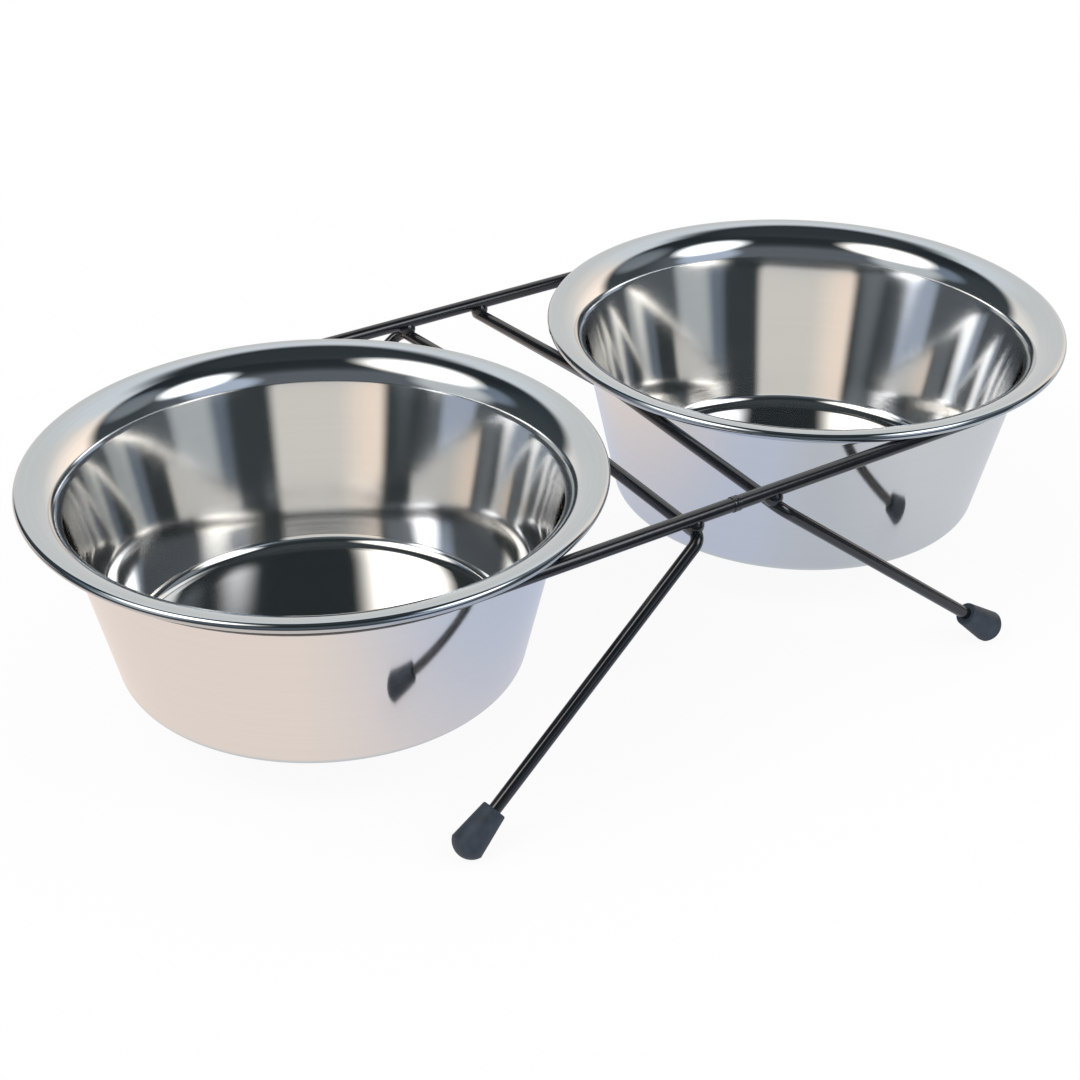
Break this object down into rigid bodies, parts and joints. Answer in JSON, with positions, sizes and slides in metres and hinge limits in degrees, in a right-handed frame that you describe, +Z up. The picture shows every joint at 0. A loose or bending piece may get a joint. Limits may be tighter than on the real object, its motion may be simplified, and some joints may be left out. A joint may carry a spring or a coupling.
{
  "type": "double pet bowl",
  "caption": "Raised pet feeder: round polished steel bowls with rolled rims hang side by side in a welded wire stand on splayed legs with rubber feet.",
  "frame": {"origin": "middle of the footprint, on the surface that the feet stand on", "axes": "+X from the left bowl to the right bowl, +Y to the back, +Z up"},
  "size_m": [0.3334, 0.179, 0.0748],
  "materials": {
    "polished_steel": "stainless steel sheet, mirror polished inside and out, with faint use scratches",
    "coated_wire": "steel wire, glossy black coating over wire and welds",
    "foot_rubber": "moulded rubber, matt dark blue-grey"
  },
  "bodies": {
    "stand": {"support_loop": "coated_wire", "left_leg_wire": "coated_wire", "right_leg_wire": "coated_wire", "frame_welds": "coated_wire", "front_left_foot": "foot_rubber", "front_right_foot": "foot_rubber", "rear_left_foot": "foot_rubber", "rear_right_foot": "foot_rubber"},
    "left_bowl": {"left_bowl": "polished_steel"},
    "right_bowl": {"right_bowl": "polished_steel"}
  },
  "joints": [
    {"name": "left_bowl_lift", "type": "slide", "parent": "stand", "child": "left_bowl", "axis": [0, 0, 1], "range_m": [0, 0.09]},
    {"name": "right_bowl_lift", "type": "slide", "parent": "stand", "child": "right_bowl", "axis": [0, 0, 1], "range_m": [0, 0.09]}
  ]
}
